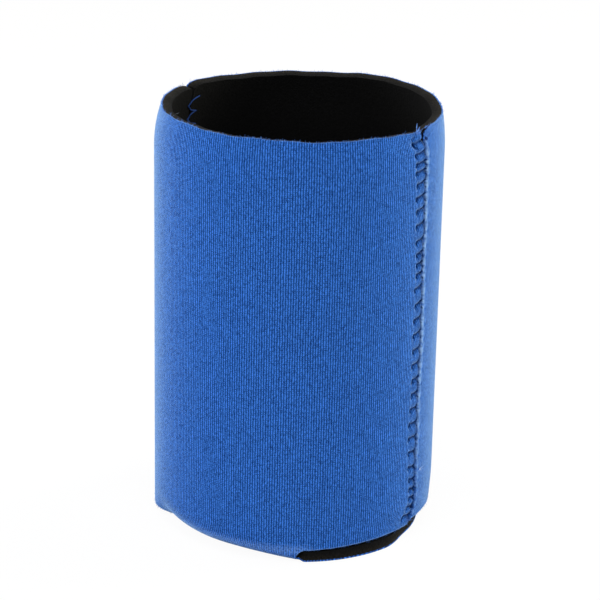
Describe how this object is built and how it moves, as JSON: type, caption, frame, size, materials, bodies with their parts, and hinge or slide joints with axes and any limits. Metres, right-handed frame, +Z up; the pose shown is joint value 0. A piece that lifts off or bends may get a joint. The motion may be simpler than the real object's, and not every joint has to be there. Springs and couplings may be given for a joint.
{
  "type": "can cooler sleeve",
  "caption": "Open-topped cup of folded knit-faced foam rubber with two zigzag-stitched butt seams and slits beside its base; slips over a drinks can to keep it cold.",
  "frame": {"origin": "middle of the base's underside, on the surface that the sleeve stands on", "axes": "+Z up along the cup's axis towards its open rim, +X through the right butt seam, +Y through the rear fold"},
  "size_m": [0.0728, 0.072, 0.1079],
  "materials": {
    "blue_knit": "royal blue polyester jersey knit with fine upright wales",
    "black_foam": "matt black foam rubber, cut edges and smooth lining",
    "blue_thread": "royal blue polyester sewing thread"
  },
  "bodies": {
    "root": {"foam_sleeve": "blue_knit", "needle_thread_right": "blue_thread", "bobbin_thread_right": "blue_thread", "needle_thread_left": "blue_thread", "bobbin_thread_left": "blue_thread"}
  },
  "joints": []
}
